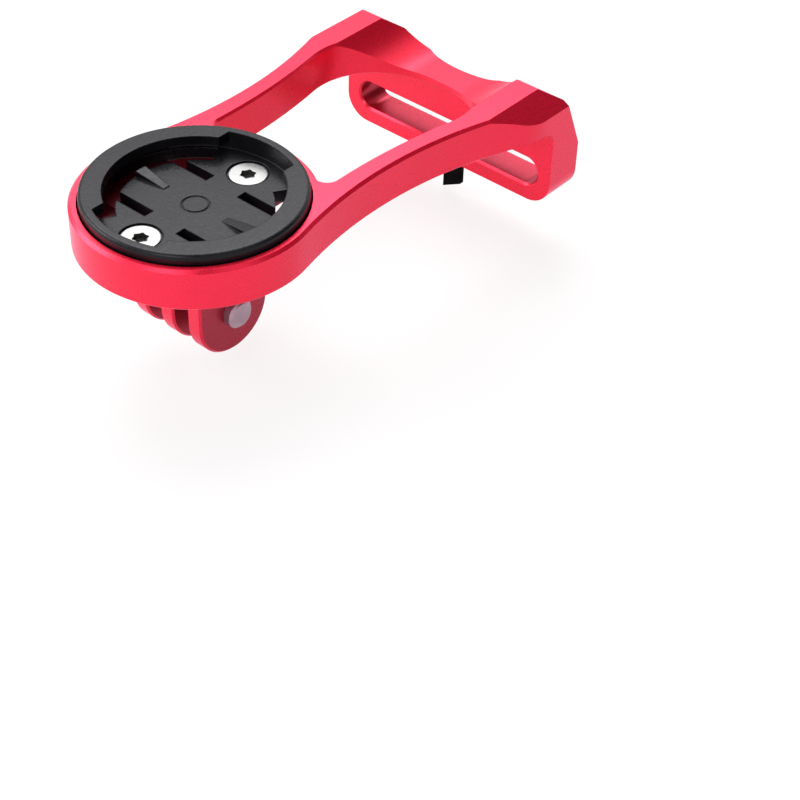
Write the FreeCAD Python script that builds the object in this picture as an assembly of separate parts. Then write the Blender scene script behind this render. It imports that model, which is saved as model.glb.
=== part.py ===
import FreeCAD, Part
import math
import os

# Out-front handlebar stem mount for a bike computer, in millimetres
# +Z up, +Y towards the stem, X across the bike
# origin on the stem contact plane, in the middle of the bolt slot

V = FreeCAD.Vector
X_AXIS = V(1, 0, 0)
Y_AXIS = V(0, 1, 0)
Z_AXIS = V(0, 0, 1)

# Reach of a cutting solid past the face it cuts, and the closeness at which points count as equal
OVER = 1.0
NEAR = 0.01

# Quarter-turn insert, the size that the head is made around
RING_R = 18.0
RING_TOP_Z = 19.35
RING_ROUND = 0.65
RIM_WALL = 1.6
GROOVE_R = RING_R - RIM_WALL
LIP_REACH = 2.1
LIP_R = GROOVE_R - LIP_REACH
LIP_T = 1.75
FLOOR_TOP_Z = 16.15
OPENING_HALF = 7.1
WINDOW_LAND = 0.5
LIP_WINDOW_OUT_R = GROOVE_R - WINDOW_LAND
LIP_WINDOW_W = 3.5
LIP_WINDOW_IN_R = LIP_WINDOW_OUT_R - LIP_WINDOW_W
LIP_WINDOW_SPAN = 116.0
RELIEF_START_X = 3.4
RELIEF_MID_Y = 6.65
RELIEF_W = 1.9
WEDGE_IN_X = 6.4
WEDGE_OUT_X = LIP_WINDOW_IN_R - 0.1
WEDGE_IN_HALF = 0.65
WEDGE_OUT_HALF = 1.05
WEDGE_LOW = 0.15
WEDGE_HIGH = 1.0
WEDGE_ROOT = 0.2
MARK_R = 2.3
MARK_LINE = 0.3
MARK_DEPTH = 0.2

# Slab with head and two arms
HEAD_Y = -70.65
POCKET_GAP = 0.3
POCKET_R = RING_R + POCKET_GAP
POCKET_WALL = 1.3
HEAD_R = POCKET_R + POCKET_WALL
TOP_Z = 17.6
SLAB_T = 7.2
UNDER_Z = TOP_Z - SLAB_T
HALF_W = 23.55
WAIST_R = 80.0
WAIST_X = HEAD_R - 3.0
SHOULDER_R = 14.0
TOP_EDGE = 0.5
LOW_EDGE = 0.3

# Window between the arms
WIN_FRONT_R = HEAD_R - 0.1
WIN_WAIST_R = 115.0
ARM_W = 3.8
WIN_WAIST_X = WAIST_X - ARM_W
WIN_WAIST_Y = HEAD_Y + 20.8
WIN_REAR_Y = -11.0
WIN_REAR_HALF = 2.0
WIN_FRONT_CORNER = 1.8
WIN_EDGE = 0.4

# Rear block, horns and saddle
FOOT_FRONT_Y = -8.3
FOOT_LOW_Z = -5.6
FOOT_CORNER_R = 4.7
FOOT_FILLET = 2.4
FOOT_ROOT = 1.0
FOOT_EDGE = 0.6
BEVEL_TOP_Y = -9.0
BEVEL_LOW_Y = -5.05
BEVEL_LOW_Z = 14.85
LEAN_LOW_Z = 3.35
FACET_W = 3.75
FACET_TOP_X = HALF_W - FACET_W
SADDLE_HALF = HALF_W - 8.3
SADDLE_FLAT = 5.0
SADDLE_DEPTH = 5.9
SADDLE_START_Y = HEAD_Y + 46.1
NOTCH_Y = -5.3
NOTCH_R = 22.0

# Bolt slot and rear recess
SLOT_HALF = HALF_W - 2.95
SLOT_H = 5.3
SLOT_EDGE = 0.4
RECESS_DEPTH = 2.3
RECESS_HALF = HALF_W - 2.15
RECESS_TOP_Z = 7.4

# Pocket floor in the head and the bar under it
POCKET_FLOOR_Z = 14.15
BAND_HALF = 7.4
BAR_HALF = 3.9
UNDERCUT_R = LIP_WINDOW_OUT_R + 0.1

# Countersunk screws that hold the insert
SCREW_PITCH = LIP_WINDOW_IN_R - 0.7
SCREW_HEAD_R = 3.1
SCREW_SHANK_R = 1.5
SCREW_SINK = 0.2
SCREW_RIM = 0.25
SCREW_LEN = 5.4
SEAT_GAP = 0.35
THROAT_R = 1.8
SOCKET_R = 1.3
SOCKET_DEPTH = 1.1
SOCKET_CORE_R = 1.1
LOBE_R = 0.36
LOBES = 6

# Action-camera prongs and their clamp bolt
PIVOT_Z = -0.85
PRONG_R = 7.5
PRONG_T = 3.0
PRONG_SLOT = 3.2
PRONG_MID_HALF = PRONG_T / 2
PRONG_IN_X = PRONG_MID_HALF + PRONG_SLOT
PRONG_OUT_X = PRONG_IN_X + PRONG_T
PRONG_FILLET = 3.5
PRONG_EDGE = 0.35
PRONG_ROOT = 0.5
BOLT_R = 2.5
BOLT_RUNNING_GAP = 0.05
BOLT_END = 1.7
BOLT_END_EDGE = 0.45
BOLT_HEAD_R = 4.25
BOLT_HEAD_H = 4.0
BOLT_HEAD_ROUND = 0.5
BOLT_SOCKET_R = 2.0
BOLT_SOCKET_DEPTH = 2.4
WASHER_R = 5.0
WASHER_T = 1.0

# Rubber tab plugged into the underside of the foot
TAB_HALF = 2.0
TAB_Y = (FOOT_FRONT_Y - RECESS_DEPTH) / 2
TAB_T = 0.9
TAB_PLUG = 1.5
TAB_LONG = 8.1
TAB_SHORT = 6.0


def box(x0, x1, y0, y1, z0, z1):
    """Block between two corners."""
    return Part.makeBox(x1 - x0, y1 - y0, z1 - z0, V(x0, y0, z0))


def upright(radius, x, y, z0, z1):
    """Cylinder along Z."""
    return Part.makeCylinder(radius, z1 - z0, V(x, y, z0), Z_AXIS)


def across(radius, y, z, x0, x1):
    """Cylinder along X."""
    return Part.makeCylinder(radius, x1 - x0, V(x0, y, z), X_AXIS)


def prism(points, way):
    """Straight-sided solid over a closed outline, pushed along a vector."""
    outline = Part.makePolygon(points + [points[0]])
    return Part.Face(outline).extrude(way)


def edges_at(solid, test):
    """Edges whose two ends and middle all pass the test."""
    found = []
    for edge in solid.Edges:
        middle = edge.valueAt((edge.FirstParameter + edge.LastParameter) / 2)
        points = [vertex.Point for vertex in edge.Vertexes] + [middle]
        if all(test(point) for point in points):
            found.append(edge)
    return found


def outer_slab():
    """Plan outline: round head, arms with one long concave arc, straight flanks."""
    centre_x = WAIST_X + WAIST_R
    reach = WAIST_R + HEAD_R
    centre_y = HEAD_Y + math.sqrt(reach ** 2 - centre_x ** 2)
    share = HEAD_R / reach
    touch_x = centre_x * share
    touch_y = HEAD_Y + (centre_y - HEAD_Y) * share
    flank_y = centre_y + math.sqrt(WAIST_R ** 2 - (centre_x - HALF_W) ** 2)
    low = UNDER_Z
    right_touch = V(touch_x, touch_y, low)
    left_touch = V(-touch_x, touch_y, low)
    right_flank = V(HALF_W, flank_y, low)
    left_flank = V(-HALF_W, flank_y, low)
    front = Part.Arc(left_touch, V(0, HEAD_Y - HEAD_R, low), right_touch).toShape()
    right = Part.Arc(right_touch, V(WAIST_X, centre_y, low), right_flank).toShape()
    left = Part.Arc(left_flank, V(-WAIST_X, centre_y, low), left_touch).toShape()
    right_end = V(HALF_W, 0, low)
    left_end = V(-HALF_W, 0, low)
    side_right = Part.makeLine(right_flank, right_end)
    back = Part.makeLine(right_end, left_end)
    side_left = Part.makeLine(left_end, left_flank)
    wire = Part.Wire([front, right, side_right, back, side_left, left])
    slab = Part.Face(wire).extrude(V(0, 0, SLAB_T))
    shoulders = edges_at(slab, lambda p: abs(p.y - flank_y) < NEAR)
    slab = slab.makeFillet(SHOULDER_R, shoulders)
    rim = edges_at(slab, lambda p: abs(p.z - TOP_Z) < NEAR and p.y < -0.5)
    slab = slab.makeChamfer(TOP_EDGE, rim)
    low_rim = edges_at(slab, lambda p: abs(p.z - UNDER_Z) < NEAR and p.y < -0.5)
    return slab.makeChamfer(LOW_EDGE, low_rim)


def window_tool():
    """Opening between the arms: front arc around the head, waisted flanks, round rear."""
    low = UNDER_Z - OVER
    high = TOP_Z + OVER
    centre_x = WIN_WAIST_X + WIN_WAIST_R
    tool = box(-centre_x, centre_x, HEAD_Y, WIN_REAR_Y, low, high)
    tool = tool.cut(upright(WIN_FRONT_R, 0, HEAD_Y, low, high))
    for side in (-1, 1):
        flank = upright(WIN_WAIST_R, side * centre_x, WIN_WAIST_Y, low, high)
        tool = tool.cut(flank)
    parts = [piece for piece in tool.Solids if piece.CenterOfMass.y > WIN_WAIST_Y]
    tool = parts[0]
    run = WIN_REAR_Y - WIN_WAIST_Y
    side = centre_x - WIN_REAR_HALF
    corner_r = (side ** 2 + run ** 2 - WIN_WAIST_R ** 2) / (2 * (WIN_WAIST_R + run))
    posts = [edge for edge in tool.Edges if abs(edge.BoundBox.ZLength - edge.Length) < NEAR]
    rear = [edge for edge in posts if abs(edge.BoundBox.YMax - WIN_REAR_Y) < NEAR]
    tool = tool.makeFillet(corner_r, rear)
    posts = [edge for edge in tool.Edges if abs(edge.BoundBox.ZLength - edge.Length) < NEAR]
    front = [edge for edge in posts if edge.BoundBox.YMax < WIN_WAIST_Y]
    return tool.makeFillet(WIN_FRONT_CORNER, front)


def foot_block():
    """Rear plate with round lower corners and the long hole for the stem bolts."""
    top = UNDER_Z + FOOT_ROOT
    block = box(-HALF_W, HALF_W, FOOT_FRONT_Y, 0, FOOT_LOW_Z, top)
    corners = edges_at(
        block, lambda p: abs(abs(p.x) - HALF_W) < NEAR and abs(p.z - FOOT_LOW_Z) < NEAR
    )
    block = block.makeFillet(FOOT_CORNER_R, corners)
    back = edges_at(block, lambda p: abs(p.y) < NEAR)
    back = [edge for edge in back if edge.BoundBox.XLength < 2 * FOOT_CORNER_R]
    block = block.makeChamfer(FOOT_EDGE, back)
    block = block.cut(slot_tool(FOOT_FRONT_Y - OVER, OVER))
    reach = SLOT_H / 2 + NEAR
    mouth = edges_at(block, lambda p: abs(p.y - FOOT_FRONT_Y) < NEAR and abs(p.z) < reach)
    return block.makeChamfer(SLOT_EDGE, mouth)


def rear_trim():
    """Everything behind the bevel and the leaning back, to be cut from the slab."""
    far = SLAB_T
    profile = [
        V(-HALF_W - OVER, BEVEL_TOP_Y, TOP_Z),
        V(-HALF_W - OVER, BEVEL_LOW_Y, BEVEL_LOW_Z),
        V(-HALF_W - OVER, 0, LEAN_LOW_Z),
        V(-HALF_W - OVER, far, LEAN_LOW_Z),
        V(-HALF_W - OVER, far, TOP_Z + far),
        V(-HALF_W - OVER, BEVEL_TOP_Y, TOP_Z + far),
    ]
    return prism(profile, V(2 * (HALF_W + OVER), 0, 0))


def saddle_tool():
    """Hollow between the horns, run along Y: flat bottom with a round flank on each side."""
    flank = SADDLE_HALF - SADDLE_FLAT
    radius = (flank ** 2 + SADDLE_DEPTH ** 2) / (2 * SADDLE_DEPTH)
    y = SADDLE_START_Y
    low_z = TOP_Z - SADDLE_DEPTH
    high_z = low_z + radius
    wide = SADDLE_FLAT + radius
    bow_x = SADDLE_FLAT + radius * math.sqrt(0.5)
    bow_z = high_z - radius * math.sqrt(0.5)
    floor = Part.makeLine(V(-SADDLE_FLAT, y, low_z), V(SADDLE_FLAT, y, low_z))
    right = Part.Arc(V(SADDLE_FLAT, y, low_z), V(bow_x, y, bow_z), V(wide, y, high_z)).toShape()
    lid = Part.makeLine(V(wide, y, high_z), V(-wide, y, high_z))
    left = Part.Arc(V(-wide, y, high_z), V(-bow_x, y, bow_z), V(-SADDLE_FLAT, y, low_z)).toShape()
    outline = Part.Wire([floor, right, lid, left])
    return Part.Face(outline).extrude(V(0, OVER - SADDLE_START_Y, 0))


def rear_notch():
    """Shallow upright hollow in the middle of the saddle's rear edge."""
    return upright(NOTCH_R, 0, NOTCH_Y + NOTCH_R, RECESS_TOP_Z, TOP_Z + OVER)


def facet_tool(side):
    """Sloping outer face of one horn."""
    drop = HALF_W - FACET_TOP_X
    start_y = HEAD_Y + HEAD_R
    profile = [
        V(side * FACET_TOP_X, start_y, TOP_Z),
        V(side * (HALF_W + OVER), start_y, TOP_Z - drop - OVER),
        V(side * (HALF_W + OVER), start_y, TOP_Z + OVER),
        V(side * FACET_TOP_X, start_y, TOP_Z + OVER),
    ]
    return prism(profile, V(0, -HEAD_Y, 0))


def slot_tool(y0, y1):
    """Long hole through the foot with round ends."""
    radius = SLOT_H / 2
    centre = SLOT_HALF - radius
    tool = box(-centre, centre, y0, y1, -radius, radius)
    for x in (-centre, centre):
        tool = tool.fuse(Part.makeCylinder(radius, y1 - y0, V(x, y0, 0), Y_AXIS))
    return tool.removeSplitter()


def foot_fillet():
    """Concave strip between the slab underside and the front of the foot."""
    r = FOOT_FILLET
    y = FOOT_FRONT_Y
    strip = box(-HALF_W, HALF_W, y - r, y, UNDER_Z - r, UNDER_Z + LOW_EDGE)
    return strip.cut(across(r, y - r, UNDER_Z - r, -HALF_W, HALF_W))


def prong(x0, x1):
    """One prong: round end on the pivot, concave fillets into the head."""
    r = PRONG_FILLET
    top = UNDER_Z + PRONG_ROOT
    body = box(x0, x1, HEAD_Y - PRONG_R, HEAD_Y + PRONG_R, PIVOT_Z, top)
    body = body.fuse(across(PRONG_R, HEAD_Y, PIVOT_Z, x0, x1)).removeSplitter()
    rim = [edge for edge in body.Edges if edge.BoundBox.XLength < NEAR]
    rim = [edge for edge in rim if edge.BoundBox.ZMin < UNDER_Z]
    body = body.makeChamfer(PRONG_EDGE, rim)
    for side in (-1, 1):
        near = HEAD_Y + side * (PRONG_R - 0.1)
        far = HEAD_Y + side * (PRONG_R + r)
        web = box(x0, x1, min(near, far), max(near, far), UNDER_Z - r, UNDER_Z + 0.1)
        web = web.cut(across(r, far, UNDER_Z - r, x0 - OVER, x1 + OVER))
        body = body.fuse(web)
    return body


def head_windows():
    """Four openings in the pocket floor, beside the bar that takes the screws."""
    low = UNDER_Z - OVER
    high = POCKET_FLOOR_Z + NEAR
    disc = upright(UNDERCUT_R, 0, HEAD_Y, low, high)
    band = box(-HEAD_R, HEAD_R, HEAD_Y - BAND_HALF, HEAD_Y + BAND_HALF, low, high)
    bar = box(-BAR_HALF, BAR_HALF, HEAD_Y - HEAD_R, HEAD_Y + HEAD_R, low, high)
    return disc.cut(band).cut(bar)


def tab_socket():
    """Small pocket in the underside of the foot that holds the rubber tab."""
    y0 = TAB_Y - TAB_T / 2
    y1 = TAB_Y + TAB_T / 2
    return box(-TAB_HALF, TAB_HALF, y0, y1, FOOT_LOW_Z - OVER, FOOT_LOW_Z + TAB_PLUG)


def bracket_body():
    """One-piece bracket: head, arms, horns, slotted foot and camera prongs."""
    body = outer_slab().cut(window_tool())
    flank_x = WIN_WAIST_X + ARM_W - 2 * TOP_EDGE
    front_y = HEAD_Y + WIN_FRONT_R / 2
    rim = edges_at(
        body,
        lambda p: abs(p.z - TOP_Z) < NEAR
        and abs(p.x) < flank_x
        and p.y > front_y
        and p.y < WIN_REAR_Y + NEAR,
    )
    body = body.makeChamfer(WIN_EDGE, rim)
    low_rim = edges_at(
        body,
        lambda p: abs(p.z - UNDER_Z) < NEAR
        and abs(p.x) < flank_x
        and p.y > front_y
        and p.y < WIN_REAR_Y + NEAR,
    )
    body = body.makeChamfer(LOW_EDGE, low_rim)
    body = body.fuse(foot_block()).fuse(foot_fillet())
    body = body.cut(rear_trim())
    body = body.cut(saddle_tool())
    body = body.cut(rear_notch())
    for side in (-1, 1):
        body = body.cut(facet_tool(side))
    recess = box(-RECESS_HALF, RECESS_HALF, -RECESS_DEPTH, OVER, FOOT_LOW_Z - OVER, RECESS_TOP_Z)
    body = body.cut(recess)
    body = body.cut(tab_socket())
    body = body.cut(upright(POCKET_R, 0, HEAD_Y, POCKET_FLOOR_Z, TOP_Z + OVER))
    body = body.cut(head_windows())
    body = body.fuse(prong(-PRONG_MID_HALF, PRONG_MID_HALF))
    body = body.fuse(prong(PRONG_IN_X, PRONG_OUT_X))
    body = body.fuse(prong(-PRONG_OUT_X, -PRONG_IN_X))
    hole = BOLT_R + BOLT_RUNNING_GAP
    body = body.cut(across(hole, HEAD_Y, PIVOT_Z, -PRONG_OUT_X - OVER, PRONG_OUT_X + OVER))
    for side in (-1, 1):
        y = HEAD_Y + side * SCREW_PITCH
        body = body.cut(upright(SCREW_SHANK_R, 0, y, UNDER_Z - OVER, TOP_Z))
    return body.removeSplitter()


def lip_window(side):
    """Arc-shaped opening in the insert floor under one lip."""
    low = POCKET_FLOOR_Z - OVER
    high = FLOOR_TOP_Z + NEAR
    start = -LIP_WINDOW_SPAN / 2 + (180 if side < 0 else 0)
    origin = V(0, HEAD_Y, low)
    tall = high - low
    outer = Part.makeCylinder(LIP_WINDOW_OUT_R, tall, origin, Z_AXIS, LIP_WINDOW_SPAN)
    inner = Part.makeCylinder(LIP_WINDOW_IN_R, tall, origin, Z_AXIS)
    outer.rotate(V(0, HEAD_Y, 0), Z_AXIS, start)
    return outer.cut(inner)


def wedge(side):
    """Detent ramp on one spring finger, narrow and low towards the middle."""
    low = FLOOR_TOP_Z - WEDGE_ROOT
    inner = side * WEDGE_IN_X
    outer = side * WEDGE_OUT_X
    y = HEAD_Y
    first = [
        V(inner, y - WEDGE_IN_HALF, low),
        V(inner, y + WEDGE_IN_HALF, low),
        V(inner, y + WEDGE_IN_HALF, FLOOR_TOP_Z + WEDGE_LOW),
        V(inner, y - WEDGE_IN_HALF, FLOOR_TOP_Z + WEDGE_LOW),
    ]
    last = [
        V(outer, y - WEDGE_OUT_HALF, low),
        V(outer, y + WEDGE_OUT_HALF, low),
        V(outer, y + WEDGE_OUT_HALF, FLOOR_TOP_Z + WEDGE_HIGH),
        V(outer, y - WEDGE_OUT_HALF, FLOOR_TOP_Z + WEDGE_HIGH),
    ]
    narrow = Part.makePolygon(first + [first[0]])
    wide = Part.makePolygon(last + [last[0]])
    return Part.makeLoft([narrow, wide], True)


def bayonet_insert():
    """Black insert: ring with two lips, floor with spring fingers and screw seats."""
    ring = upright(RING_R, 0, HEAD_Y, POCKET_FLOOR_Z, RING_TOP_Z)
    top_rim = edges_at(ring, lambda p: abs(p.z - RING_TOP_Z) < NEAR)
    top_rim = [edge for edge in top_rim if edge.Length > RING_R]
    ring = ring.makeFillet(RING_ROUND, top_rim)
    lip_low = RING_TOP_Z - LIP_T
    ring = ring.cut(upright(GROOVE_R, 0, HEAD_Y, FLOOR_TOP_Z, lip_low))
    ring = ring.cut(upright(LIP_R, 0, HEAD_Y, FLOOR_TOP_Z, RING_TOP_Z + OVER))
    gate = upright(GROOVE_R, 0, HEAD_Y, FLOOR_TOP_Z, RING_TOP_Z + OVER)
    front = HEAD_Y - RING_R
    rear = HEAD_Y + RING_R
    span = box(-OPENING_HALF, OPENING_HALF, front, rear, FLOOR_TOP_Z, RING_TOP_Z + OVER)
    body = ring.cut(gate.common(span))
    for side in (-1, 1):
        body = body.cut(lip_window(side))
        x0 = min(side * RELIEF_START_X, side * (LIP_WINDOW_IN_R + 0.5))
        x1 = max(side * RELIEF_START_X, side * (LIP_WINDOW_IN_R + 0.5))
        for way in (-1, 1):
            middle = HEAD_Y + way * RELIEF_MID_Y
            y0 = middle - RELIEF_W / 2
            y1 = middle + RELIEF_W / 2
            body = body.cut(box(x0, x1, y0, y1, POCKET_FLOOR_Z - OVER, FLOOR_TOP_Z + NEAR))
    for side in (-1, 1):
        body = body.fuse(wedge(side))
        y = HEAD_Y + side * SCREW_PITCH
        body = body.cut(screw_seat(y))
    mark = upright(MARK_R, 0, HEAD_Y, FLOOR_TOP_Z - MARK_DEPTH, FLOOR_TOP_Z + OVER)
    core = upright(MARK_R - MARK_LINE, 0, HEAD_Y, FLOOR_TOP_Z - OVER, FLOOR_TOP_Z + OVER)
    body = body.cut(mark.cut(core))
    return body.removeSplitter()


def screw_seat(y):
    """Countersink under one screw head with the running-out throat."""
    head_top = FLOOR_TOP_Z - SCREW_SINK
    cone_top = head_top - SCREW_RIM
    cone_h = SCREW_HEAD_R - SCREW_SHANK_R
    cone_low = cone_top - cone_h
    seat = upright(SCREW_HEAD_R + SEAT_GAP, 0, y, cone_top, FLOOR_TOP_Z + OVER)
    cone = Part.makeCone(SCREW_SHANK_R, SCREW_HEAD_R, cone_h, V(0, y, cone_low), Z_AXIS)
    throat = upright(THROAT_R, 0, y, POCKET_FLOOR_Z - OVER, cone_top)
    return seat.fuse(cone).fuse(throat)


def insert_screw(side):
    """Countersunk screw with a six-lobe recess, its end flush under the bar."""
    y = HEAD_Y + side * SCREW_PITCH
    head_top = FLOOR_TOP_Z - SCREW_SINK
    cone_top = head_top - SCREW_RIM
    cone_h = SCREW_HEAD_R - SCREW_SHANK_R
    cone_low = cone_top - cone_h
    rim = upright(SCREW_HEAD_R, 0, y, cone_top, head_top)
    cone = Part.makeCone(SCREW_SHANK_R, SCREW_HEAD_R, cone_h, V(0, y, cone_low), Z_AXIS)
    shank = upright(SCREW_SHANK_R, 0, y, head_top - SCREW_LEN, cone_low + NEAR)
    screw = rim.fuse(cone).fuse(shank).removeSplitter()
    socket_low = head_top - SOCKET_DEPTH
    socket = upright(SOCKET_CORE_R, 0, y, socket_low, head_top + OVER)
    for k in range(LOBES):
        turn = 2 * math.pi * k / LOBES
        lobe_x = (SOCKET_R - LOBE_R) * math.cos(turn)
        lobe_y = y + (SOCKET_R - LOBE_R) * math.sin(turn)
        lobe = upright(LOBE_R, lobe_x, lobe_y, socket_low, head_top + OVER)
        socket = socket.fuse(lobe)
    return screw.cut(socket.removeSplitter())


def hexagon(radius, y, z, x0, x1):
    """Six-sided prism along X."""
    points = []
    for k in range(6):
        turn = math.radians(60 * k)
        points.append(V(x0, y + radius * math.cos(turn), z + radius * math.sin(turn)))
    return prism(points, V(x1 - x0, 0, 0))


def pivot_bolt():
    """Clamp bolt through the prongs, socket head on the left side."""
    seat_x = -PRONG_OUT_X - WASHER_T
    shank = across(BOLT_R, HEAD_Y, PIVOT_Z, seat_x - 0.5, PRONG_OUT_X + BOLT_END)
    tip = edges_at(shank, lambda p: abs(p.x - PRONG_OUT_X - BOLT_END) < NEAR)
    tip = [edge for edge in tip if edge.Length > BOLT_R]
    shank = shank.makeChamfer(BOLT_END_EDGE, tip)
    head_x = seat_x - BOLT_HEAD_H
    head = across(BOLT_HEAD_R, HEAD_Y, PIVOT_Z, head_x, seat_x)
    rim = edges_at(head, lambda p: abs(p.x - head_x) < NEAR)
    rim = [edge for edge in rim if edge.Length > BOLT_R]
    head = head.makeFillet(BOLT_HEAD_ROUND, rim)
    bolt = shank.fuse(head).removeSplitter()
    socket = hexagon(BOLT_SOCKET_R, HEAD_Y, PIVOT_Z, head_x - OVER, head_x + BOLT_SOCKET_DEPTH)
    return bolt.cut(socket)


def pivot_washer():
    """Flat washer between the bolt head and the left prong."""
    x0 = -PRONG_OUT_X - WASHER_T
    x1 = -PRONG_OUT_X
    ring = across(WASHER_R, HEAD_Y, PIVOT_Z, x0, x1)
    hole = across(BOLT_R + BOLT_RUNNING_GAP, HEAD_Y, PIVOT_Z, x0 - OVER, x1 + OVER)
    return ring.cut(hole)


def foot_tab():
    """Rubber tab that hangs below the foot, its end trimmed on a slant."""
    y0 = TAB_Y - TAB_T / 2
    top = FOOT_LOW_Z + TAB_PLUG
    outline = [
        V(-TAB_HALF, y0, top),
        V(TAB_HALF, y0, top),
        V(TAB_HALF, y0, FOOT_LOW_Z - TAB_SHORT),
        V(-TAB_HALF, y0, FOOT_LOW_Z - TAB_LONG),
    ]
    return prism(outline, V(0, TAB_T, 0))


os.makedirs("parts", exist_ok=True)
bracket_body().exportStep("parts/bracket_body.step")
bayonet_insert().exportStep("parts/bayonet_insert.step")
screws = Part.makeCompound([insert_screw(-1), insert_screw(1)])
screws.exportStep("parts/insert_screws.step")
pivot_bolt().exportStep("parts/pivot_bolt.step")
pivot_washer().exportStep("parts/pivot_washer.step")
foot_tab().exportStep("parts/foot_tab.step")
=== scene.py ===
import math

import bpy
from mathutils import Matrix, Vector

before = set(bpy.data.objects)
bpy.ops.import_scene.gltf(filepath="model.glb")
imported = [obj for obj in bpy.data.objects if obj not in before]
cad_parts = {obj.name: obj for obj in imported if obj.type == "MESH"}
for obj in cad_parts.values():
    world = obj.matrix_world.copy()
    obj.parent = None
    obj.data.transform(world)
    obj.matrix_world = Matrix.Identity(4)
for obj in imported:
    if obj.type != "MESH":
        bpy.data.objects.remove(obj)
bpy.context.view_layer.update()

# The photograph's viewpoint, worked out from the round head and the straight edges: metres, degrees
# and millimetres of focal length
CAMERA_PLACE = (0.17386, -0.23222, 0.18089)
CAMERA_AZIMUTH = 39.14
CAMERA_ELEVATION = 40.88
CAMERA_ROLL = 2.10
CAMERA_LENS = 82.73
CAMERA_SENSOR = 36.0
CLIP_NEAR = 0.01
CLIP_FAR = 20.0

# The stage: cards and lamps have a place, a size and, for the lamps, a power, and face the middle
MIDDLE = (0, -0.045, 0.01)
CARDS = {
    "right_card": ((0.60, 0.50, 0.45), 0.8),
    "front_card": ((0.25, -0.50, 0.75), 0.7),
}
LAMPS = {
    "top_box": ((-0.25, 0.15, 0.55), 0.5, 4.5),
    "left_box": ((-0.45, -0.35, 0.30), 0.35, 2.5),
    "front_box": ((0.15, -0.55, 0.40), 0.30, 1.5),
}
FLOOR_Z = -0.0142
FLOOR_HALF = 2.0
FLOOR_GRAIN = 40.0
FLOOR_ROUGH = 0.9
FLOOR_LIFT = 0.78
FLOOR_MIRROR_LIFT = 0.45
FILL = 0.30

# Places on the part that the painted shade masks follow, in metres
HEAD_Y = -0.07065
HEAD_R = 0.0196
HEAD_TOP_Z = 0.0176
HEAD_UNDER_Z = 0.0104
POCKET_R = 0.0183
SCREW_TOP_Z = 0.01595
FOOT_FRONT_Y = -0.0083
SLOT_H = 0.0053
SLOT_HALF = 0.0206
SOFT = 0.0001

# How far the painted shade takes the slot and the prong sides to the near-black red, and where a face
# counts as sideways
SLOT_SHADE_SHARE = 0.5
PRONG_SHADE_SHARE = 0.65
SIDE_FROM = 0.6
SIDE_TO = 0.95

# Noise runs from about 0 to 1, and most of it lies between these two
NOISE_LOW = 0.3
NOISE_HIGH = 0.7
GRAIN_DETAIL = 3.0
CLOUD_DETAIL = 4.0
LINE_WANDER = 0.6
EDGE_SAMPLES = 6
BUMP_STRENGTH = 0.35
BUMP_HEIGHT = 0.00008


def node(tree, kind, x=0, y=0, **values):
    """One shader node, placed, with its plain settings."""
    n = tree.nodes.new(kind)
    n.location = (x, y)
    for name, value in values.items():
        setattr(n, name, value)
    return n


def group(name, inputs, outputs):
    """An empty node group with named sockets; returns it with its two ends."""
    g = bpy.data.node_groups.new(name, "ShaderNodeTree")
    for label, kind, value in inputs:
        s = g.interface.new_socket(name=label, in_out="INPUT", socket_type=kind)
        s.default_value = value
    for label, kind in outputs:
        g.interface.new_socket(name=label, in_out="OUTPUT", socket_type=kind)
    return g, node(g, "NodeGroupInput", -900, 0), node(g, "NodeGroupOutput", 900, 0)


def math_node(tree, how, a, b=None, x=0, y=0):
    """A sum, product or other operation on sockets or numbers."""
    n = node(tree, "ShaderNodeMath", x, y, operation=how)
    for k, value in enumerate((a, b)):
        if isinstance(value, (int, float)):
            n.inputs[k].default_value = value
        elif value is not None:
            tree.links.new(value, n.inputs[k])
    return n.outputs[0]


def blasted_skin():
    """Bead-blasted skin: fine pits, slow clouds, faint cutter lines and soft edges."""
    g, start, end = group(
        "blasted_skin",
        [
            ("Grain size", "NodeSocketFloat", 2600.0),
            ("Grain depth", "NodeSocketFloat", 0.25),
            ("Cloud size", "NodeSocketFloat", 60.0),
            ("Line spacing", "NodeSocketFloat", 900.0),
            ("Line depth", "NodeSocketFloat", 0.05),
            ("Edge round", "NodeSocketFloat", 0.0002),
        ],
        [("Grain", "NodeSocketFloat"), ("Cloud", "NodeSocketFloat"), ("Normal", "NodeSocketVector")],
    )
    link = g.links.new
    where = node(g, "ShaderNodeTexCoord", -700, 0)
    grain = node(g, "ShaderNodeTexNoise", -450, 200)
    grain.inputs["Detail"].default_value = GRAIN_DETAIL
    cloud = node(g, "ShaderNodeTexNoise", -450, -50)
    cloud.inputs["Detail"].default_value = CLOUD_DETAIL
    lines = node(g, "ShaderNodeTexWave", -450, -300, wave_type="BANDS", bands_direction="DIAGONAL")
    lines.inputs["Distortion"].default_value = LINE_WANDER
    for texture, size in ((grain, "Grain size"), (cloud, "Cloud size"), (lines, "Line spacing")):
        link(where.outputs["Object"], texture.inputs["Vector"])
        link(start.outputs[size], texture.inputs["Scale"])
    pits = math_node(g, "MULTIPLY", grain.outputs["Fac"], start.outputs["Grain depth"], -200, 200)
    cuts = math_node(g, "MULTIPLY", lines.outputs["Fac"], start.outputs["Line depth"], -200, -300)
    edge = node(g, "ShaderNodeBevel", 100, -300, samples=EDGE_SAMPLES)
    link(start.outputs["Edge round"], edge.inputs["Radius"])
    bump = node(g, "ShaderNodeBump", 300, 0)
    bump.inputs["Strength"].default_value = BUMP_STRENGTH
    bump.inputs["Distance"].default_value = BUMP_HEIGHT
    link(edge.outputs["Normal"], bump.inputs["Normal"])
    link(math_node(g, "ADD", pits, cuts), bump.inputs["Height"])
    link(grain.outputs["Fac"], end.inputs["Grain"])
    link(cloud.outputs["Fac"], end.inputs["Cloud"])
    link(bump.outputs["Normal"], end.inputs["Normal"])
    return g


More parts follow.
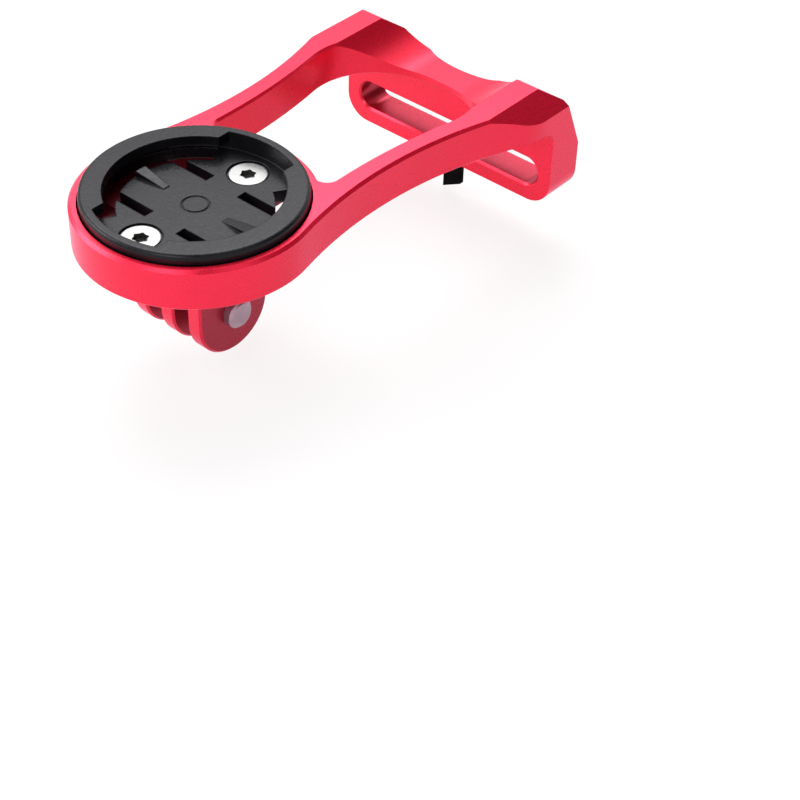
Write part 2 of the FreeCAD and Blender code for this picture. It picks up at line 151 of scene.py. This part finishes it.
def new_material(name):
    """A material with an empty tree, its Principled shader and its output."""
    m = bpy.data.materials.new(name)
    m.use_nodes = True
    t = m.node_tree
    t.nodes.clear()
    shader = node(t, "ShaderNodeBsdfPrincipled", 600, 0)
    out = node(t, "ShaderNodeOutputMaterial", 900, 0)
    t.links.new(shader.outputs[0], out.inputs[0])
    return m, t, shader


def ramp(tree, noise, low, high):
    """Two colours mixed by a noise."""
    r = node(tree, "ShaderNodeValToRGB", 200, 0)
    stops = r.color_ramp.elements
    for stop, place, colour in ((stops[0], NOISE_LOW, low), (stops[1], NOISE_HIGH, high)):
        stop.position = place
        stop.color = (*colour, 1)
    tree.links.new(noise, r.inputs[0])
    return r.outputs[0]


def span(tree, noise, low, high):
    """A noise stretched to the numbers from low to high."""
    n = node(tree, "ShaderNodeMapRange", 200, -200)
    n.inputs["From Min"].default_value = NOISE_LOW
    n.inputs["From Max"].default_value = NOISE_HIGH
    n.inputs["To Min"].default_value = low
    n.inputs["To Max"].default_value = high
    tree.links.new(noise, n.inputs["Value"])
    return n.outputs["Result"]


def band(tree, value, low, high):
    """A number's way from low to high as a smooth 0..1 mask."""
    n = node(tree, "ShaderNodeMapRange", 0, -700, interpolation_type="SMOOTHSTEP")
    n.inputs["From Min"].default_value = low
    n.inputs["From Max"].default_value = high
    tree.links.new(value, n.inputs["Value"])
    return n.outputs["Result"]


def blend(tree, mask, socket, colour):
    """A colour socket that goes to a plain colour where the mask is 1."""
    n = node(tree, "ShaderNodeMix", 400, 200, data_type="RGBA")
    tree.links.new(mask, n.inputs["Factor"])
    tree.links.new(socket, n.inputs["A"])
    n.inputs["B"].default_value = (*colour, 1)
    return n.outputs["Result"]


def at_least(tree, value, limit):
    """Mask of what lies above a limit."""
    return band(tree, value, limit - SOFT, limit)


def at_most(tree, value, limit):
    """Mask of what lies below a limit."""
    return band(tree, value, limit + SOFT, limit)


def chained(tree, how, masks):
    """Masks joined one after another by a Math operation."""
    result = masks[0]
    for mask in masks[1:]:
        result = math_node(tree, how, result, mask, 200, -800)
    return result


def place_of(tree):
    """Object coordinates x, y and z, and the distance from the head's upright axis."""
    where = node(tree, "ShaderNodeTexCoord", -900, -800)
    split = node(tree, "ShaderNodeSeparateXYZ", -700, -800)
    flat = node(tree, "ShaderNodeVectorMath", -700, -1000, operation="MULTIPLY")
    flat.inputs[1].default_value = (1, 1, 0)
    away = node(tree, "ShaderNodeVectorMath", -500, -1000, operation="DISTANCE")
    away.inputs[1].default_value = (0, HEAD_Y, 0)
    tree.links.new(where.outputs["Object"], split.inputs[0])
    tree.links.new(where.outputs["Object"], flat.inputs[0])
    tree.links.new(flat.outputs[0], away.inputs[0])
    return split.outputs["X"], split.outputs["Y"], split.outputs["Z"], away.outputs["Value"]


SKIN = blasted_skin()


def skinned(name, low, high, rough, sizes, metallic=0.0):
    """A material on the blasted skin: colour by the clouds, roughness by the grain."""
    m, t, shader = new_material(name)
    skin = node(t, "ShaderNodeGroup", -200, 0, node_tree=SKIN)
    for label, value in sizes.items():
        skin.inputs[label].default_value = value
    colour = ramp(t, skin.outputs["Cloud"], low, high)
    t.links.new(colour, shader.inputs["Base Color"])
    t.links.new(span(t, skin.outputs["Grain"], *rough), shader.inputs["Roughness"])
    t.links.new(skin.outputs["Normal"], shader.inputs["Normal"])
    shader.inputs["Metallic"].default_value = metallic
    return m, t, shader, colour


def painted_shade_mask(tree):
    """Mask of painted shade: the bracket's pocket, bolt slot and sideways prong faces, darkened where
    shade falls.
    """
    x, y, z, away = place_of(tree)
    pocket = chained(tree, "MULTIPLY", (
        at_most(tree, away, POCKET_R),
        at_least(tree, z, HEAD_UNDER_Z + SOFT),
        at_most(tree, z, HEAD_TOP_Z - SOFT),
    ))
    slot = chained(tree, "MULTIPLY", (
        at_least(tree, y, FOOT_FRONT_Y + 2 * SOFT),
        at_most(tree, math_node(tree, "ABSOLUTE", z, None, -400, -1300), SLOT_H / 2),
        at_most(tree, math_node(tree, "ABSOLUTE", x, None, -400, -1500), SLOT_HALF),
    ))
    face = node(tree, "ShaderNodeNewGeometry", -900, -1700)
    split = node(tree, "ShaderNodeSeparateXYZ", -700, -1700)
    tree.links.new(face.outputs["Normal"], split.inputs[0])
    sideways = math_node(tree, "ABSOLUTE", split.outputs["X"], None, -500, -1700)
    # Painted shade on the prongs: faces turned sideways, below the head, are darkened by their normal
    prongs = chained(tree, "MULTIPLY", (
        band(tree, sideways, SIDE_FROM, SIDE_TO),
        at_most(tree, away, HEAD_R),
        at_most(tree, z, HEAD_UNDER_Z - 2 * SOFT),
    ))
    return chained(tree, "MAXIMUM", (
        pocket,
        math_node(tree, "MULTIPLY", slot, SLOT_SHADE_SHARE, 0, -1300),
        math_node(tree, "MULTIPLY", prongs, PRONG_SHADE_SHARE, 0, -1700),
    ))


def anodised_red():
    """Satin red with a lilac sheen, and painted shade darkening the slot, the pocket and the sideways
    prong faces.
    """
    m, t, shader, colour = skinned(
        "anodised_red",
        low=(0.76, 0.004, 0.024),
        high=(0.86, 0.006, 0.040),
        rough=(0.26, 0.36),
        sizes={
            "Grain size": 3200.0,
            "Grain depth": 0.20,
            "Cloud size": 45.0,
            "Line depth": 0.04,
            "Edge round": 0.0,
        },
        metallic=0.55,
    )
    # Painted shade: the masked pocket, slot and prong sides get a near-black red base colour
    t.links.new(blend(t, painted_shade_mask(t), colour, (0.10, 0.0, 0.004)), shader.inputs["Base Color"])
    shader.inputs["Specular IOR Level"].default_value = 0.90
    shader.inputs["Specular Tint"].default_value = (1.0, 0.74, 1.0, 1.0)
    return m


def black_nylon():
    """Moulded nylon: dark, with a faint cool sheen."""
    m, _, shader, _ = skinned(
        "black_nylon",
        low=(0.0030, 0.0030, 0.0042),
        high=(0.0070, 0.0070, 0.0092),
        rough=(0.24, 0.38),
        sizes={
            "Grain size": 1500.0,
            "Grain depth": 0.6,
            "Cloud size": 160.0,
            "Line depth": 0.0,
            "Edge round": 0.0003,
        },
    )
    shader.inputs["Specular IOR Level"].default_value = 0.20
    shader.inputs["Specular Tint"].default_value = (0.94, 0.93, 1.0, 1.0)
    return m


def black_rubber():
    """Dull rubber, nearly without a sheen."""
    m, _, shader, _ = skinned(
        "black_rubber",
        low=(0.001, 0.001, 0.001),
        high=(0.002, 0.002, 0.002),
        rough=(0.7, 0.9),
        sizes={"Grain size": 900.0, "Grain depth": 1.0, "Cloud size": 200.0, "Line depth": 0.0},
    )
    shader.inputs["Specular IOR Level"].default_value = 0.05
    return m


def turned_steel(name, low, high, rough):
    """Steel with fine cutter lines, and painted shade in the sockets of the screws."""
    m, t, shader, colour = skinned(
        name,
        low,
        high,
        rough,
        sizes={
            "Grain size": 2400.0,
            "Grain depth": 0.15,
            "Cloud size": 300.0,
            "Line spacing": 1800.0,
            "Line depth": 0.12,
        },
        metallic=0.8,
    )
    _, _, z, _ = place_of(t)
    # Painted shade: below the screw tops the sockets get a dark grey base colour
    socket = chained(t, "MULTIPLY", (at_most(t, z, SCREW_TOP_Z - SOFT), at_least(t, z, HEAD_UNDER_Z)))
    t.links.new(blend(t, socket, colour, (0.12, 0.12, 0.115)), shader.inputs["Base Color"])
    return m


bright_screw = turned_steel("bright_screw", (0.30, 0.30, 0.295), (0.38, 0.38, 0.375), (0.30, 0.42))
grey_bolt = turned_steel("grey_bolt", (0.34, 0.24, 0.29), (0.46, 0.34, 0.40), (0.28, 0.42))
MATERIALS = {
    "bracket_body": anodised_red(),
    "bayonet_insert": black_nylon(),
    "insert_screws": bright_screw,
    "pivot_bolt": grey_bolt,
    "pivot_washer": grey_bolt,
    "foot_tab": black_rubber(),
}
for name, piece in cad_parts.items():
    piece.data.materials.clear()
    piece.data.materials.append(MATERIALS[name])


def stage_plane(name, corners, material):
    """A flat four-cornered piece of the stage."""
    mesh = bpy.data.meshes.new(name)
    mesh.from_pydata(corners, [], [(0, 1, 2, 3)])
    piece = bpy.data.objects.new(name, mesh)
    bpy.context.scene.collection.objects.link(piece)
    mesh.materials.append(material)
    return piece


def square(half, z=0.0):
    """Corners of a level square about the origin."""
    return [(-half, -half, z), (half, -half, z), (half, half, z), (-half, half, z)]


def turn_towards(place, target):
    """The turn that makes a piece at a place look at the target."""
    return (Vector(target) - Vector(place)).to_track_quat("-Z", "Y")


def mirror_rays(tree, path, x, y):
    """Mask of the rays that mirrors and clear pieces send out."""
    mirrored, passed = path.outputs["Is Glossy Ray"], path.outputs["Is Transmission Ray"]
    return math_node(tree, "MAXIMUM", mirrored, passed, x, y)


def pale_floor():
    """White table top: lit by the lamps, lifted towards white for the camera and in mirrors."""
    m, t, shader = new_material("pale_floor")
    where = node(t, "ShaderNodeTexCoord", -400, 0)
    grain = node(t, "ShaderNodeTexNoise", -200, 0)
    grain.inputs["Scale"].default_value = FLOOR_GRAIN
    t.links.new(where.outputs["Object"], grain.inputs["Vector"])
    whites = ramp(t, grain.outputs["Fac"], (0.92, 0.92, 0.92), (0.94, 0.94, 0.94))
    t.links.new(whites, shader.inputs["Base Color"])
    shader.inputs["Roughness"].default_value = FLOOR_ROUGH
    glow = node(t, "ShaderNodeEmission", 600, -300)
    glow.inputs["Strength"].default_value = 1.0
    path = node(t, "ShaderNodeLightPath", 200, -400)
    direct = math_node(t, "MULTIPLY", path.outputs["Is Camera Ray"], FLOOR_LIFT, 400, -400)
    mirrored = mirror_rays(t, path, 400, -550)
    mirrored = math_node(t, "MULTIPLY", mirrored, FLOOR_MIRROR_LIFT, 550, -550)
    lifted = node(t, "ShaderNodeMixShader", 800, -100)
    t.links.new(math_node(t, "ADD", direct, mirrored, 650, -400), lifted.inputs[0])
    t.links.new(shader.outputs[0], lifted.inputs[1])
    t.links.new(glow.outputs[0], lifted.inputs[2])
    t.links.new(lifted.outputs[0], t.nodes["Material Output"].inputs[0])
    return m


def dark_card():
    """Dull dark card that shows only in reflections."""
    m, _, shader = new_material("dark_card")
    shader.inputs["Base Color"].default_value = (0.02, 0.02, 0.02, 1)
    shader.inputs["Roughness"].default_value = 1.0
    return m


def card(name, place, size, material):
    """Square card that faces the middle and is seen only by reflections."""
    turned = turn_towards(place, MIDDLE).to_matrix()
    corners = [tuple(Vector(place) + turned @ Vector(c)) for c in square(size / 2)]
    piece = stage_plane(name, corners, material)
    piece.visible_camera = False
    piece.visible_diffuse = False
    piece.visible_shadow = False


def studio_world():
    """A dim fill for the part, and plain white where the world itself is seen."""
    world = bpy.data.worlds.new("studio")
    bpy.context.scene.world = world
    world.use_nodes = True
    t = world.node_tree
    t.nodes.clear()
    fill = node(t, "ShaderNodeBackground", 0, 100)
    fill.inputs["Strength"].default_value = FILL
    white = node(t, "ShaderNodeBackground", 0, -100)
    white.inputs["Color"].default_value = (1, 1, 1, 1)
    path = node(t, "ShaderNodeLightPath", -500, 0)
    mirrored = mirror_rays(t, path, -250, 0)
    seen = math_node(t, "MAXIMUM", path.outputs["Is Camera Ray"], mirrored, -50, -100)
    mix = node(t, "ShaderNodeMixShader", 250, 0)
    sky = node(t, "ShaderNodeOutputWorld", 500, 0)
    t.links.new(seen, mix.inputs[0])
    t.links.new(fill.outputs[0], mix.inputs[1])
    t.links.new(white.outputs[0], mix.inputs[2])
    t.links.new(mix.outputs[0], sky.inputs[0])


def soft_lamp(name, place, size, power):
    """A square soft box that faces the middle."""
    data = bpy.data.lights.new(name, "AREA")
    data.energy = power
    data.size = size
    lamp = bpy.data.objects.new(name, data)
    lamp.location = place
    lamp.rotation_euler = turn_towards(place, MIDDLE).to_euler()
    bpy.context.scene.collection.objects.link(lamp)


def photo_camera():
    """The camera at the photograph's viewpoint."""
    lens = bpy.data.cameras.new("camera")
    lens.lens = CAMERA_LENS
    lens.sensor_width = CAMERA_SENSOR
    lens.clip_start = CLIP_NEAR
    lens.clip_end = CLIP_FAR
    camera = bpy.data.objects.new("camera", lens)
    camera.location = CAMERA_PLACE
    turn = Matrix.Rotation(math.radians(CAMERA_AZIMUTH), 3, "Z")
    tilt = Matrix.Rotation(math.radians(90 - CAMERA_ELEVATION), 3, "X")
    roll = Matrix.Rotation(math.radians(CAMERA_ROLL), 3, "Z")
    camera.rotation_euler = (turn @ tilt @ roll).to_euler()
    bpy.context.scene.collection.objects.link(camera)
    return camera


card_finish = dark_card()
for name, (place, size) in CARDS.items():
    card(name, place, size, card_finish)
stage_plane("floor", square(FLOOR_HALF, FLOOR_Z), pale_floor())
studio_world()
for name, (place, size, power) in LAMPS.items():
    soft_lamp(name, place, size, power)
bpy.context.scene.camera = photo_camera()
bpy.context.scene.view_settings.view_transform = "Standard"
